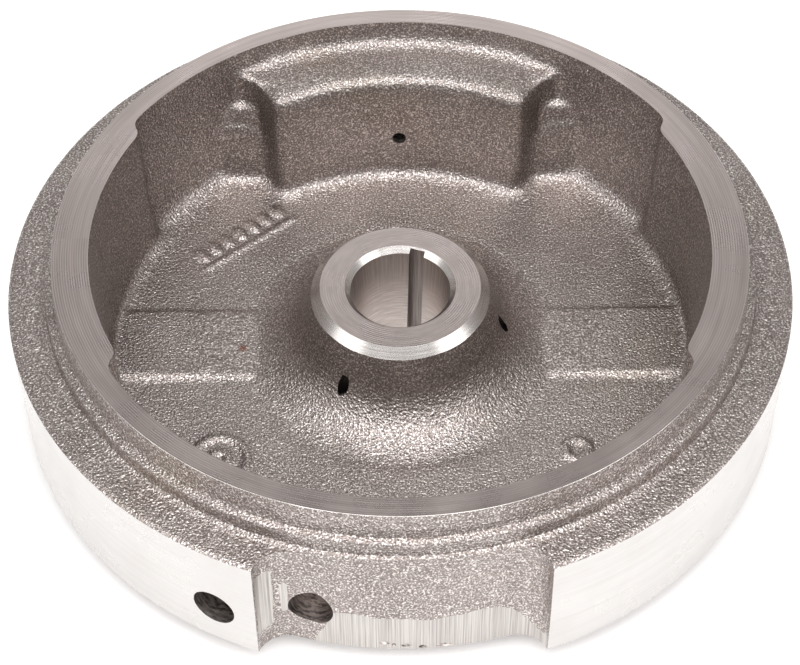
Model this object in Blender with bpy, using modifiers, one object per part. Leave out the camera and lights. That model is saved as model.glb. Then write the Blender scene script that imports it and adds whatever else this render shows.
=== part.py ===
"""Cast-iron flywheel of a small engine, with its ignition magnet set.

The crankshaft axis is Z. The origin is on that axis, in the hub's fan-side face. +Z looks
towards the engine, and +Y towards the magnet set. All lengths are in metres.
"""
import math

import bmesh
import bpy
from mathutils import Matrix, Vector

MM = 0.001

# Driving dimensions of the casting
RIM_RADIUS = 100.0 * MM
RIM_LOW = 4.5 * MM              # fan-side face of the rim
RIM_SHOULDER = 38.1 * MM        # top of the turned outer surface
RIM_FACE = 50.5 * MM            # machined engine-side face of the rim
RIM_FACE_RADIUS = 87.7 * MM
RIM_EDGE = 0.5 * MM             # chamfer at the fan-side edge of the rim
LIP_OUTLINE = (                 # the cast steps from the rim's face down to its shoulder
    (88.9 * MM, 43.3 * MM),
    (89.7 * MM, 42.6 * MM),
    (90.2 * MM, 39.9 * MM),
    (91.8 * MM, 39.0 * MM),
    (99.0 * MM, 38.5 * MM),
)
WALL_TOP_RADIUS = 82.5 * MM     # inner wall of the rim, at its face
WALL_FLOOR_RADIUS = 80.6 * MM   # inner wall of the rim, at the web
WALL_FILLET = (4.0 * MM, 4.5 * MM)   # how far it reaches along the web and up the wall
BURIED_RADIUS = 86.0 * MM       # outer end of what is joined to the wall, inside the rim
BURIED_HEIGHT = 4.0 * MM        # lower end of what is joined to the web, inside the web
WEB_TOP = 10.0 * MM
WEB_UNDER = 2.0 * MM
UNDER_SLOPE_RADII = (86.5 * MM, 90.0 * MM)   # the slope from the web to the rim, fan side
HUB_FACE = 31.9 * MM
HUB_RADIUS = 20.9 * MM
HUB_CHAMFER = 1.9 * MM
FLARE_START = (26.0 * MM, 18.5 * MM)   # the hub's side ends here, and its flare starts
FLARE_END_RADIUS = 42.5 * MM
FAN_HUB_RADIUS = 40.0 * MM
FAN_HUB_SLOPE = 1.5 * MM
BORE_TOP_RADIUS = 13.0 * MM
BORE_LOW_RADIUS = 11.0 * MM     # the bore tapers 1 in 8 on diameter
BORE_CHAMFER = 1.45 * MM
BORE_LOW_CHAMFER = 0.6 * MM
KEYWAY_WIDTH = 4.0 * MM
KEYWAY_REACH = 14.0 * MM        # bottom of the keyway, from the axis
KEYWAY_ANGLE = 70.5
MACHINING_ALLOWANCE = 0.6 * MM

PAD_TOP_RADIUS = 78.5 * MM
PAD_FLOOR_RADIUS = 77.0 * MM
PAD_HALF_ANGLE = 30.0
PAD_ANGLES = (0.0, 180.0)

BOSS_TOP_RADIUS = 66.0 * MM
BOSS_FLOOR_RADIUS = 64.2 * MM
BOSS_TOP = 43.5 * MM
BOSS_ANGLE = 90.0
BOSS_HALF_ANGLE = 30.5
BOSS_EDGE = 3.0 * MM
STEP_BURY = 0.5 * MM            # keeps the hidden faces of the steps apart
STEP_HALF_ANGLES = (36.0, 40.0)  # the two cast steps at each end of the boss
STEP_TOPS = (33.0 * MM, 23.0 * MM)
STEP_RADII = (78.2 * MM, 79.4 * MM)

BAR_INNER = 39.0 * MM
BAR_HALF_WIDTH = 12.4 * MM
BAR_MIDDLE = -1.5 * MM          # the bars' centre line lies just in front of the axis
BAR_RISE = 1.1 * MM

NOTCH_ANGLE = -90.0
NOTCH_HALF_ANGLE = 20.1
NOTCH_RADIUS = 92.4 * MM
NOTCH_FILLET = 7.0 * MM
NOTCH_TOP = 46.5 * MM

BALANCE_HOLE_ANGLES = (-116.6, -103.6)
BALANCE_HOLE_RADIUS = 5.5 * MM
BALANCE_HOLE_HEIGHT = 17.3 * MM
BALANCE_HOLE_BOTTOM = 83.5 * MM  # end of the straight part, from the axis
BALANCE_HOLE_CONE = 2.6 * MM

FAN_HOLE_ANGLES = (-123.5, -3.5, 116.5)
FAN_HOLE_CIRCLE = 26.9 * MM
FAN_HOLE_RADIUS = 2.5 * MM
FAN_HOLE_DEPTH = 13.0 * MM
FAN_HOLE_TIP_RADIUS = 1.3 * MM
FAN_HOLE_CONE = 1.2 * MM
FAN_HOLE_TIP_TOP = 24.0 * MM

# Driving dimensions of the magnet set
GAP = 0.3 * MM
MAGNET_HEIGHT = 23.0 * MM       # height of the set's centre
POCKET_HALF_WIDTH = 28.0 * MM
POCKET_HALF_HEIGHT = 12.0 * MM
POCKET_FLOOR = 84.0 * MM        # flat floor of the pocket, from the axis
PLATE_THICKNESS = 1.2 * MM
MAGNET_HALF_WIDTH = 11.0 * MM
MAGNET_THICKNESS = 8.0 * MM
SET_RADIUS = 99.7 * MM          # outer face of the shoes and the spacer
SHOE_SCREW_OFFSET = 19.5 * MM
SHOE_SCREW_RISE = 6.5 * MM
SCREW_RADIUS = 2.0 * MM
SCREW_HEAD_RADIUS = 3.9 * MM
SCREW_HEAD_DEPTH = 2.2 * MM
SCREW_SOCKET_RADIUS = 1.45 * MM
SCREW_SOCKET_DEPTH = 1.6 * MM
SCREW_TIP = 75.0 * MM           # end of every screw, from the axis
SCREW_HOLE_END = 73.0 * MM
HEAD_INSET = 0.2 * MM           # the heads stay this far inside the set's outer face
BREAKOUT_RADIUS = 1.9 * MM

CLEAR = 5.0 * MM                # how far a cutter runs past what it cuts

ROUND_STEPS = 96
SCREW_STEPS = 20
SMALL_HOLE_STEPS = 16
BALANCE_HOLE_STEPS = 28
MERGE = 0.00001

COLLECTION = "flywheel"
CUTTERS = "cutters"


def clear_scene():
    for obj in list(bpy.data.objects):
        bpy.data.objects.remove(obj, do_unlink=True)


def new_collection(name):
    collection = bpy.data.collections.new(name)
    bpy.context.scene.collection.children.link(collection)
    return collection


def polar(radius, angle):
    return radius * math.cos(math.radians(angle)), radius * math.sin(math.radians(angle))


def arc(radius, start, end):
    """Points on a circle about the axis, as fine as the turned surfaces."""
    count = max(2, math.ceil(abs(end - start) / (360.0 / ROUND_STEPS)))
    return [polar(radius, start + (end - start) * i / count) for i in range(count + 1)]


def as_cutter(obj):
    obj.hide_render = True
    obj.display_type = "WIRE"
    for collection in list(obj.users_collection):
        collection.objects.unlink(obj)
    bpy.data.collections[CUTTERS].objects.link(obj)
    return obj


def to_mesh(obj):
    """Replace an object by its evaluated mesh, with welded seams."""
    bpy.context.view_layer.update()
    evaluated = obj.evaluated_get(bpy.context.evaluated_depsgraph_get())
    mesh = bpy.data.meshes.new_from_object(evaluated)
    welded = bmesh.new()
    welded.from_mesh(mesh)
    bmesh.ops.remove_doubles(welded, verts=welded.verts, dist=MERGE)
    welded.to_mesh(mesh)
    welded.free()
    name = obj.name
    matrix = obj.matrix_world.copy()
    collections = list(obj.users_collection)
    bpy.data.objects.remove(obj, do_unlink=True)
    result = bpy.data.objects.new(name, mesh)
    result.matrix_world = matrix
    for collection in collections:
        collection.objects.link(result)
    return result


def turned(name, profile, steps=ROUND_STEPS):
    """A closed profile of (radius, height) points, turned about Z."""
    mesh = bpy.data.meshes.new(name)
    count = len(profile)
    points = [(radius, 0.0, height) for radius, height in profile]
    edges = [(i, (i + 1) % count) for i in range(count)]
    mesh.from_pydata(points, edges, [])
    obj = bpy.data.objects.new(name, mesh)
    bpy.data.collections[COLLECTION].objects.link(obj)
    screw = obj.modifiers.new("turn", "SCREW")
    screw.steps = steps
    screw.render_steps = steps
    screw.use_merge_vertices = True
    screw.merge_threshold = MERGE
    screw.use_smooth_shade = True
    return to_mesh(obj)


def merge_flat_faces(obj):
    """Make one face of the triangles that fill each flat cap."""
    shape = bmesh.new()
    shape.from_mesh(obj.data)
    bmesh.ops.dissolve_limit(shape, angle_limit=math.radians(0.5), verts=shape.verts,
                             edges=shape.edges)
    shape.to_mesh(obj.data)
    shape.free()


def outline_plate(name, outline, low, high):
    """A flat outline in XY, given thickness from low to high."""
    curve = bpy.data.curves.new(name, "CURVE")
    curve.dimensions = "2D"
    curve.fill_mode = "BOTH"
    curve.extrude = (high - low) / 2
    spline = curve.splines.new("POLY")
    spline.points.add(len(outline) - 1)
    for point, (x, y) in zip(spline.points, outline):
        point.co = (x, y, 0.0, 1.0)
    spline.use_cyclic_u = True
    obj = bpy.data.objects.new(name, curve)
    obj.location = (0.0, 0.0, (low + high) / 2)
    bpy.data.collections[COLLECTION].objects.link(obj)
    obj = to_mesh(obj)
    obj.data.transform(obj.matrix_world)
    obj.matrix_world = Matrix.Identity(4)
    merge_flat_faces(obj)
    return obj


def bend(start, corner, end, count):
    """Points of a smooth curve that leaves start and reaches end in line with the corner."""
    points = []
    for i in range(count + 1):
        t = i / count
        weights = ((1 - t) ** 2, 2 * t * (1 - t), t ** 2)
        points.append(tuple(sum(w * p[axis] for w, p in zip(weights, (start, corner, end)))
                            for axis in (0, 1)))
    return points


def sector(inner, outer, middle, half_angle):
    """Outline of a piece of ring."""
    return (arc(inner, middle - half_angle, middle + half_angle)
            + arc(outer, middle + half_angle, middle - half_angle))


def draft_inner_face(obj, inner, change):
    """Move the upper corners of a sector's inner face outwards by change."""
    middle = sum(vertex.co.z for vertex in obj.data.vertices) / len(obj.data.vertices)
    for vertex in obj.data.vertices:
        radius = math.hypot(vertex.co.x, vertex.co.y)
        if vertex.co.z > middle and radius < inner + 1.0 * MM:
            vertex.co.x *= (radius + change) / radius
            vertex.co.y *= (radius + change) / radius


def round_edges(obj, width, segments, angle=40.0):
    bevel = obj.modifiers.new("edges", "BEVEL")
    bevel.width = width
    bevel.segments = segments
    bevel.limit_method = "ANGLE"
    bevel.angle_limit = math.radians(angle)
    return to_mesh(obj)


def spindle(name, profile, base, direction, steps=SCREW_STEPS):
    """A solid turned about any axis: (radius, distance) points from its start to its end."""
    mesh = bpy.data.meshes.new(name)
    points = [(radius, 0.0, distance) for radius, distance in reversed(profile)]
    edges = [(i, i + 1) for i in range(len(points) - 1)]
    mesh.from_pydata(points, edges, [])
    obj = bpy.data.objects.new(name, mesh)
    bpy.data.collections[COLLECTION].objects.link(obj)
    screw = obj.modifiers.new("turn", "SCREW")
    screw.steps = steps
    screw.render_steps = steps
    screw.use_merge_vertices = True
    screw.merge_threshold = MERGE
    obj = to_mesh(obj)
    turn = Vector(direction).to_track_quat("Z", "Y").to_matrix().to_4x4()
    obj.data.transform(Matrix.Translation(Vector(base)) @ turn)
    return obj


def bar(radius, start, end):
    """Profile of a plain round bar."""
    return [(0.0, start), (radius, start), (radius, end), (0.0, end)]


def prism(name, radius, start, end, sides):
    """A straight bar with flat sides, from start to end."""
    start = Vector(start)
    end = Vector(end)
    mesh = bpy.data.meshes.new(name)
    shape = bmesh.new()
    bmesh.ops.create_cone(shape, cap_ends=True, cap_tris=False, segments=sides, radius1=radius,
                          radius2=radius, depth=(end - start).length)
    turn = (end - start).to_track_quat("Z", "Y").to_matrix().to_4x4()
    bmesh.ops.transform(shape, matrix=Matrix.Translation((start + end) / 2) @ turn,
                        verts=shape.verts)
    shape.to_mesh(mesh)
    shape.free()
    obj = bpy.data.objects.new(name, mesh)
    bpy.data.collections[COLLECTION].objects.link(obj)
    return obj


def box(name, low, high):
    low = Vector(low)
    high = Vector(high)
    mesh = bpy.data.meshes.new(name)
    shape = bmesh.new()
    bmesh.ops.create_cube(shape, size=1.0)
    size = high - low
    bmesh.ops.transform(shape, matrix=Matrix.Translation((low + high) / 2)
                        @ Matrix.Diagonal((size.x, size.y, size.z, 1.0)), verts=shape.verts)
    shape.to_mesh(mesh)
    shape.free()
    obj = bpy.data.objects.new(name, mesh)
    bpy.data.collections[COLLECTION].objects.link(obj)
    return obj


def combine(obj, other, operation):
    """Add, cut or intersect one object with another, which becomes a cutter."""
    boolean = obj.modifiers.new(other.name, "BOOLEAN")
    boolean.object = as_cutter(other)
    boolean.operation = operation
    boolean.solver = "EXACT"
    return to_mesh(obj)


def material(name, color, roughness, metallic):
    result = bpy.data.materials.new(name)
    result.use_nodes = True
    shader = result.node_tree.nodes["Principled BSDF"]
    shader.inputs["Base Color"].default_value = (*color, 1.0)
    shader.inputs["Roughness"].default_value = roughness
    shader.inputs["Metallic"].default_value = metallic
    return result


def finish(obj, surface):
    obj.data.materials.clear()
    obj.data.materials.append(surface)
    obj.data.shade_smooth()
    obj.data.set_sharp_from_angle(angle=math.radians(30.0))


# ---- the casting ------------------------------------------------------------------------

def casting_profile():
    """Half section of the casting, from the top of the rim outwards and round to the wall."""
    top = RIM_FACE + MACHINING_ALLOWANCE
    rim = [
        (RIM_FACE_RADIUS, top),
        *LIP_OUTLINE,
        (RIM_RADIUS, RIM_SHOULDER),
        (RIM_RADIUS, RIM_LOW + RIM_EDGE),
        (RIM_RADIUS - RIM_EDGE, RIM_LOW),
    ]
    fan_side = [
        (UNDER_SLOPE_RADII[1], RIM_LOW),
        (UNDER_SLOPE_RADII[0], WEB_UNDER),
        (FAN_HUB_RADIUS + FAN_HUB_SLOPE, WEB_UNDER),
        (FAN_HUB_RADIUS, 0.0),
    ]
    bore = [
        (BORE_LOW_RADIUS + BORE_LOW_CHAMFER, 0.0),
        (BORE_LOW_RADIUS, BORE_LOW_CHAMFER),
        (BORE_TOP_RADIUS, HUB_FACE - BORE_CHAMFER),
        (BORE_TOP_RADIUS + BORE_CHAMFER, HUB_FACE),
    ]
    side_top = (HUB_RADIUS + HUB_CHAMFER, HUB_FACE - HUB_CHAMFER)
    side_slope = (FLARE_START[0] - side_top[0]) / (side_top[1] - FLARE_START[1])
    flare_corner = (FLARE_START[0] + side_slope * (FLARE_START[1] - WEB_TOP), WEB_TOP)
    hub = [(HUB_RADIUS, HUB_FACE), side_top]
    hub += bend(FLARE_START, flare_corner, (FLARE_END_RADIUS, WEB_TOP), 5)
    reach, rise = WALL_FILLET
    wall = bend((WALL_FLOOR_RADIUS - reach, WEB_TOP), (WALL_FLOOR_RADIUS, WEB_TOP),
                (WALL_FLOOR_RADIUS, WEB_TOP + rise), 3)
    wall.append((WALL_TOP_RADIUS, top))
    return rim + fan_side + bore + hub + wall


def add_wall_pads(casting):
    """The two thicker stretches of the rim's inner wall."""
    for index, angle in enumerate(PAD_ANGLES):
        outline = sector(PAD_FLOOR_RADIUS, BURIED_RADIUS, angle, PAD_HALF_ANGLE)
        pad = outline_plate(f"wall_pad_{index}", outline, BURIED_HEIGHT,
                            RIM_FACE + MACHINING_ALLOWANCE / 2)
        draft_inner_face(pad, PAD_FLOOR_RADIUS, PAD_TOP_RADIUS - PAD_FLOOR_RADIUS)
        casting = combine(casting, pad, "UNION")
    return casting


def add_boss(casting):
    """The block behind the magnets, and the cast steps at its two ends."""
    outline = sector(BOSS_FLOOR_RADIUS, BURIED_RADIUS, BOSS_ANGLE, BOSS_HALF_ANGLE)
    boss = outline_plate("magnet_boss", outline, BURIED_HEIGHT, BOSS_TOP)
    draft_inner_face(boss, BOSS_FLOOR_RADIUS, BOSS_TOP_RADIUS - BOSS_FLOOR_RADIUS)
    boss = round_edges(boss, BOSS_EDGE, 3)
    steps = zip(STEP_HALF_ANGLES, STEP_TOPS, STEP_RADII)
    for index, (half_angle, top, radius) in enumerate(steps):
        bury = (index + 1) * STEP_BURY
        outline = sector(radius, BURIED_RADIUS + bury, BOSS_ANGLE, half_angle)
        step = outline_plate(f"boss_step_{index}", outline, BURIED_HEIGHT + bury, top)
        step = round_edges(step, BOSS_EDGE, 2)
        boss = combine(boss, step, "UNION")
    return combine(casting, boss, "UNION")


def add_web_bars(casting):
    """The low raised bar on each side of the hub."""
    low_y = BAR_MIDDLE - BAR_HALF_WIDTH
    high_y = BAR_MIDDLE + BAR_HALF_WIDTH
    outer = WALL_FLOOR_RADIUS + 1.0 * MM
    for index, (low_x, high_x) in enumerate(((-outer, -BAR_INNER), (BAR_INNER, outer))):
        web_bar = box(f"web_bar_{index}", (low_x, low_y, BURIED_HEIGHT + 1.0 * MM),
                      (high_x, high_y, WEB_TOP + BAR_RISE))
        web_bar = round_edges(web_bar, BAR_RISE * 0.8, 1)
        casting = combine(casting, web_bar, "UNION")
    return casting


def face_rim(casting):
    """The facing cut that leaves rim and pads flush."""
    shape = bmesh.new()
    shape.from_mesh(casting.data)
    cut = bmesh.ops.bisect_plane(shape, geom=shape.verts[:] + shape.edges[:] + shape.faces[:],
                                 plane_co=(0.0, 0.0, RIM_FACE), plane_no=(0.0, 0.0, 1.0),
                                 clear_outer=True)
    rim_edges = [edge for edge in cut["geom_cut"] if isinstance(edge, bmesh.types.BMEdge)]
    bmesh.ops.bridge_loops(shape, edges=rim_edges)
    bmesh.ops.recalc_face_normals(shape, faces=shape.faces)
    shape.to_mesh(casting.data)
    shape.free()


def notch_outline():
    """Outline of the notch: an arc for its floor, with a fillet into each side."""
    turn = math.degrees(math.asin(NOTCH_FILLET / (NOTCH_RADIUS + NOTCH_FILLET)))
    side = NOTCH_ANGLE + NOTCH_HALF_ANGLE
    centre = polar(NOTCH_RADIUS + NOTCH_FILLET, side - turn)
    right = []
    for i in range(5):
        x, y = polar(NOTCH_FILLET, side - turn + 180.0 - (90.0 - turn) * i / 4)
        right.append((centre[0] + x, centre[1] + y))
    right.append(polar(RIM_RADIUS + CLEAR, side))
    left = [(-x, y) for x, y in reversed(right)]
    floor = arc(NOTCH_RADIUS, 2 * NOTCH_ANGLE - side + turn, side - turn)[1:-1]
    outer = arc(RIM_RADIUS + CLEAR, side, 2 * NOTCH_ANGLE - side)[1:-1]
    return left + floor + right + outer


def cut_notch(casting):
    notch = outline_plate("notch", notch_outline(), -CLEAR, NOTCH_TOP)
    return combine(casting, notch, "DIFFERENCE")


def cut_balance_holes(casting):
    """Drilled holes that trim the balance, each with the cone of its drill."""
    for index, angle in enumerate(BALANCE_HOLE_ANGLES):
        x, y = polar(1.0, angle)
        drill = [(0.0, BALANCE_HOLE_BOTTOM - BALANCE_HOLE_CONE),
                 (BALANCE_HOLE_RADIUS, BALANCE_HOLE_BOTTOM),
                 (BALANCE_HOLE_RADIUS, RIM_RADIUS + CLEAR), (0.0, RIM_RADIUS + CLEAR)]
        hole = spindle(f"balance_drill_{index}", drill, (0.0, 0.0, BALANCE_HOLE_HEIGHT),
                       (x, y, 0.0), steps=BALANCE_HOLE_STEPS)
        casting = combine(casting, hole, "DIFFERENCE")
    return casting


def cut_fan_holes(casting):
    """Tapped holes for the fan and starter cup, whose drill tips break out in the hub's side."""
    drill = [(0.0, -CLEAR), (FAN_HOLE_RADIUS, -CLEAR), (FAN_HOLE_RADIUS, FAN_HOLE_DEPTH),
             (FAN_HOLE_TIP_RADIUS, FAN_HOLE_DEPTH + FAN_HOLE_CONE),
             (FAN_HOLE_TIP_RADIUS, FAN_HOLE_TIP_TOP), (0.0, FAN_HOLE_TIP_TOP)]
    for index, angle in enumerate(FAN_HOLE_ANGLES):
        x, y = polar(FAN_HOLE_CIRCLE, angle)
        hole = spindle(f"fan_hole_{index}", drill, (x, y, 0.0), (0.0, 0.0, 1.0),
                       steps=SMALL_HOLE_STEPS)
        casting = combine(casting, hole, "DIFFERENCE")
    return casting


def cut_keyway(casting):
    keyway = box("keyway", (BORE_LOW_RADIUS / 2, -KEYWAY_WIDTH / 2, -CLEAR),
                 (KEYWAY_REACH, KEYWAY_WIDTH / 2, HUB_FACE + CLEAR))
    keyway.data.transform(Matrix.Rotation(math.radians(KEYWAY_ANGLE), 4, "Z"))
    return combine(casting, keyway, "DIFFERENCE")


def screw_places():
    """(node name, x, height) of each screw of the magnet set."""
    places = [("magnet_retaining_screw", 0.0, MAGNET_HEIGHT)]
    corners = [(sx, sz) for sx in (-1, 1) for sz in (1, -1)]
    for index, (sx, sz) in enumerate(corners, start=1):
        places.append((f"pole_shoe_screw_{index}", sx * SHOE_SCREW_OFFSET,
                       MAGNET_HEIGHT + sz * SHOE_SCREW_RISE))
    return places


def head_face(x):
    """Outer face of a screw's head, just inside the outer surface of the set."""
    reach = abs(x) + SCREW_HEAD_RADIUS
    return math.sqrt(SET_RADIUS ** 2 - reach ** 2) - HEAD_INSET


def cut_magnet_pocket(casting):
    pocket = box("magnet_pocket",
                 (-POCKET_HALF_WIDTH, POCKET_FLOOR, MAGNET_HEIGHT - POCKET_HALF_HEIGHT),
                 (POCKET_HALF_WIDTH, RIM_RADIUS + CLEAR, MAGNET_HEIGHT + POCKET_HALF_HEIGHT))
    casting = combine(casting, pocket, "DIFFERENCE")
    for name, x, z in screw_places():
        drill = bar(SCREW_RADIUS + GAP, SCREW_HOLE_END, POCKET_FLOOR + CLEAR)
        if x == 0.0:                        # the middle hole breaks out in the boss
            drill[:1] = [(0.0, BOSS_FLOOR_RADIUS - CLEAR), (BREAKOUT_RADIUS, BOSS_FLOOR_RADIUS - CLEAR),
                         (BREAKOUT_RADIUS, SCREW_HOLE_END)]
        hole = spindle(f"{name}_hole", drill, (x, 0.0, z), (0.0, 1.0, 0.0), steps=SMALL_HOLE_STEPS)
        casting = combine(casting, hole, "DIFFERENCE")
    return casting


def make_casting(surface):
    casting = turned("flywheel_casting", casting_profile())
    casting = add_wall_pads(casting)
    face_rim(casting)
    casting = add_boss(casting)
    casting = add_web_bars(casting)
    casting = cut_notch(casting)
    casting = cut_keyway(casting)
    casting = cut_fan_holes(casting)
    casting = cut_balance_holes(casting)
    casting = cut_magnet_pocket(casting)
    finish(casting, surface)


# ---- the magnet set ---------------------------------------------------------------------

def cut_screw_holes(obj, low_x, high_x, with_heads):
    """Clearance holes, and countersinks where heads sit, for the screws between two x."""
    radius = SCREW_RADIUS + GAP
    head_radius = SCREW_HEAD_RADIUS + GAP
    start = POCKET_FLOOR - CLEAR
    end = RIM_RADIUS + CLEAR
    for name, x, z in screw_places():
        if not low_x < x < high_x:
            continue
        drill = bar(radius, start, end)
        if with_heads:
            face = head_face(x)
            drill = [(0.0, start), (radius, start), (radius, face - SCREW_HEAD_DEPTH - GAP),
                     (head_radius, face - GAP), (head_radius, end), (0.0, end)]
        hole = spindle(f"{obj.name}_{name}", drill, (x, 0.0, z), (0.0, 1.0, 0.0))
        obj = combine(obj, hole, "DIFFERENCE")
    return obj


def set_block(name, low_x, high_x, low_y, high_y):
    """A block of the set, as tall as the pocket less a gap at each side."""
    half = POCKET_HALF_HEIGHT - GAP
    return box(name, (low_x, low_y, MAGNET_HEIGHT - half), (high_x, high_y, MAGNET_HEIGHT + half))


def curved_block(name, low_x, high_x, low_y):
    """A block whose outer face follows the rim."""
    block = set_block(name, low_x, high_x, low_y, RIM_RADIUS + CLEAR)
    drum = prism(f"{name}_drum", SET_RADIUS, (0, 0, 0), (0, 0, RIM_FACE), 2 * ROUND_STEPS)
    return combine(block, drum, "INTERSECT")


def make_backing_plate(surface):
    edge = POCKET_HALF_WIDTH - GAP
    plate = set_block("magnet_backing_plate", -edge, edge, POCKET_FLOOR + GAP,
                      POCKET_FLOOR + GAP + PLATE_THICKNESS)
    plate = cut_screw_holes(plate, -edge, edge, with_heads=False)
    finish(plate, surface)


def make_magnet(surface):
    low = POCKET_FLOOR + PLATE_THICKNESS + 2 * GAP
    magnet = set_block("ignition_magnet", -MAGNET_HALF_WIDTH, MAGNET_HALF_WIDTH, low,
                       low + MAGNET_THICKNESS)
    magnet = cut_screw_holes(magnet, -MAGNET_HALF_WIDTH, MAGNET_HALF_WIDTH, with_heads=False)
    finish(magnet, surface)


def make_spacer(surface):
    low = POCKET_FLOOR + PLATE_THICKNESS + MAGNET_THICKNESS + 3 * GAP
    spacer = curved_block("magnet_spacer", -MAGNET_HALF_WIDTH, MAGNET_HALF_WIDTH, low)
    spacer = cut_screw_holes(spacer, -MAGNET_HALF_WIDTH, MAGNET_HALF_WIDTH, with_heads=True)
    finish(spacer, surface)


def make_pole_shoes(surface):
    low = POCKET_FLOOR + PLATE_THICKNESS + 2 * GAP
    near = MAGNET_HALF_WIDTH + GAP
    far = POCKET_HALF_WIDTH - GAP
    for name, low_x, high_x in (("pole_shoe_leading", near, far), ("pole_shoe_trailing", -far, -near)):
        shoe = curved_block(name, low_x, high_x, low)
        shoe = cut_screw_holes(shoe, low_x, high_x, with_heads=True)
        finish(shoe, surface)


def make_screws(surface):
    for name, x, z in screw_places():
        face = head_face(x)
        shape = [(0.0, SCREW_TIP), (SCREW_RADIUS, SCREW_TIP), (SCREW_RADIUS, face - SCREW_HEAD_DEPTH),
                 (SCREW_HEAD_RADIUS, face), (0.0, face)]
        screw = spindle(name, shape, (x, 0.0, z), (0.0, 1.0, 0.0))
        socket = prism(f"{name}_socket", SCREW_SOCKET_RADIUS, (x, face - SCREW_SOCKET_DEPTH, z),
                       (x, face + CLEAR, z), 6)
        screw = combine(screw, socket, "DIFFERENCE")
        finish(screw, surface)


def main():
    clear_scene()
    new_collection(COLLECTION)
    new_collection(CUTTERS)
    make_casting(material("cast_iron", (0.17, 0.15, 0.14), 0.45, 1.0))
    make_backing_plate(material("brass_sheet", (0.72, 0.55, 0.25), 0.35, 1.0))
    make_magnet(material("magnet_alloy", (0.22, 0.22, 0.23), 0.5, 1.0))
    make_spacer(material("aluminium", (0.75, 0.75, 0.76), 0.35, 1.0))
    make_pole_shoes(material("pole_steel", (0.5, 0.49, 0.48), 0.3, 1.0))
    make_screws(material("black_screw_steel", (0.08, 0.08, 0.09), 0.4, 1.0))


main()
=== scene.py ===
"""The looks of the flywheel: a rough casting with its machined surfaces, and its magnet set.

The casting is made the way the real one is. A cast blank with soft edges and a sand grain
comes first, and then each machining cut is taken from it, with its own surface finish.
"""
import math

import bmesh
import bpy
import numpy as np
from mathutils import Matrix, Vector


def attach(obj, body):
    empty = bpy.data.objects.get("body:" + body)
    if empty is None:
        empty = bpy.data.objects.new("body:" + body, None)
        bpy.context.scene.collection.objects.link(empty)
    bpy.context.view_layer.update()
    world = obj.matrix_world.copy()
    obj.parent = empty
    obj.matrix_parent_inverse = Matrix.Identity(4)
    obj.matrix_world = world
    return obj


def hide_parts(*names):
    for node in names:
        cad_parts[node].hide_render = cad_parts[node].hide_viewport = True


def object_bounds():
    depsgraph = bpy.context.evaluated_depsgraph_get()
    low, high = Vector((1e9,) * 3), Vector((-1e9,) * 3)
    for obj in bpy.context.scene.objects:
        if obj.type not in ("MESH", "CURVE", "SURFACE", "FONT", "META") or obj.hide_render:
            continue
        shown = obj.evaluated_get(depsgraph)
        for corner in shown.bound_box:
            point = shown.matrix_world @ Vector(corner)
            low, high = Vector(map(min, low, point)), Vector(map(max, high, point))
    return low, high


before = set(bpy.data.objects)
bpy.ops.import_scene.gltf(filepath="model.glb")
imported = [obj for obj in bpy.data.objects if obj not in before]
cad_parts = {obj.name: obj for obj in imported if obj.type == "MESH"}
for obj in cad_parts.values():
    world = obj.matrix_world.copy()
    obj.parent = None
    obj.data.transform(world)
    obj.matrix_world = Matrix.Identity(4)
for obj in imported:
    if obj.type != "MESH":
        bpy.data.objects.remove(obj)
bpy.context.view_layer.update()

MM = 0.001

# The casting's machined sizes, as in the CAD model
RIM_RADIUS = 100.0 * MM
RIM_LOW = 4.5 * MM
RIM_SHOULDER = 38.1 * MM
RIM_FACE = 50.5 * MM
RIM_FACE_RADIUS = 87.7 * MM
RIM_EDGE = 0.5 * MM
UNDER_FACE_RADIUS = 90.0 * MM
FAN_HUB_RADIUS = 40.0 * MM
HUB_FACE = 31.9 * MM
HUB_RADIUS = 20.9 * MM
BORE_TOP_RADIUS = 13.0 * MM
BORE_LOW_RADIUS = 11.0 * MM
BORE_CHAMFER = 1.45 * MM
BORE_LOW_CHAMFER = 0.6 * MM
KEYWAY_WIDTH = 4.0 * MM
KEYWAY_REACH = 14.0 * MM
KEYWAY_ANGLE = 70.5
FAN_HOLE_ANGLES = (-123.5, -3.5, 116.5)
FAN_HOLE_CIRCLE = 26.9 * MM
FAN_HOLE_RADIUS = 2.5 * MM
FAN_HOLE_DEPTH = 13.0 * MM
FAN_TIP_RADIUS = 1.5 * MM
FAN_TIP_TOP = 21.8 * MM
THREAD_PITCH = 0.8 * MM
THREAD_DEPTH = 0.35 * MM
BALANCE_ANGLES = (-116.6, -103.6)
BALANCE_RADIUS = 5.5 * MM
BALANCE_HEIGHT = 17.3 * MM
BALANCE_BOTTOM = 83.5 * MM
BALANCE_CONE = 2.6 * MM

# The cast surfaces
WALL_TOP_RADIUS = 82.5 * MM
WALL_FLOOR_RADIUS = 80.6 * MM
WEB_TOP = 10.0 * MM
WEB_UNDER = 2.0 * MM
PAD_TOP_RADIUS = 78.5 * MM
PAD_FLOOR_RADIUS = 77.0 * MM
PAD_HALF_ANGLE = 30.0
BOSS_TOP_RADIUS = 66.0 * MM
BOSS_FLOOR_RADIUS = 64.2 * MM
BOSS_TOP = 43.5 * MM
BOSS_HALF_ANGLE = 30.5
BURIED_RADIUS = 86.0 * MM
RUST = ((-41.9, -2.5, 11.0, 1.6), (61.7, 46.6, 14.5, 1.5), (-68.8, 42.0, 29.5, 1.4))  # mm: x, y, z, radius
STEP_DRAFT = 0.075
STEP_SOFTNESS = 0.12            # how much of the smoothing reaches the steps
BAR_INNER = 39.0 * MM
BAR_HALF_WIDTH = 11.2 * MM
BAR_MIDDLE = -0.3 * MM
BAR_SKIRT = 3.0 * MM            # width of the slope along their near edges
BAR_RISE = 1.15 * MM
MARK_RISE = 0.75 * MM
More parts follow.
